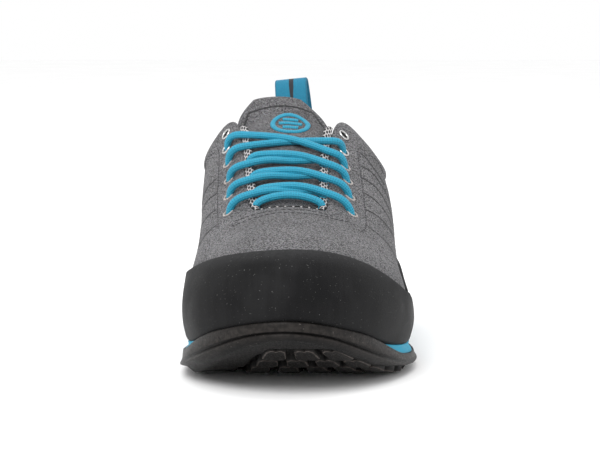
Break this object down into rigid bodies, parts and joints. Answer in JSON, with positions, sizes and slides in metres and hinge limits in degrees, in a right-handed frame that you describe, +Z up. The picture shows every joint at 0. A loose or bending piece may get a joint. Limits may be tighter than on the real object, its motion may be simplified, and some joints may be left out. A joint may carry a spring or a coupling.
{
  "type": "approach shoe",
  "caption": "Left low approach shoe: grey suede upper with a deep rubber toe rand, blue foam midsole, lugged rubber sole, blue laces and a heel pull loop, standing empty",
  "frame": {"origin": "on the floor under the middle of the shoe's box, the sole's heel and forefoot flats at z = 0", "axes": "+Y towards the heel, so the toe points along -Y; +Z up; +X towards the lateral (little toe) side of the left shoe"},
  "size_m": [0.1124, 0.2952, 0.1329],
  "materials": {
    "suede": "grey synthetic suede, fine fleck grain",
    "rand_rubber": "smooth satin black rubber",
    "outsole_rubber": "matte grainy black rubber",
    "foam": "matte moulded foam, muted blue",
    "lining": "dark textile",
    "cord": "braided round cord, bright blue",
    "metal": "plain silver grommet",
    "webbing": "woven blue webbing with a dark centre stripe"
  },
  "bodies": {
    "root": {"upper": "suede", "tongue": "suede", "toe_rand": "rand_rubber", "side_rand": "rand_rubber", "midsole": "foam", "outsole": "outsole_rubber", "insole": "lining", "lace_bar": "cord", "lace_crossing_1": "cord", "lace_crossing_2": "cord", "lace_crossing_3": "cord", "lace_crossing_4": "cord", "metal_eyelet_medial_5": "metal", "metal_eyelet_medial_6": "metal", "metal_eyelet_lateral_5": "metal", "metal_eyelet_lateral_6": "metal", "pull_loop": "webbing"}
  },
  "joints": []
}
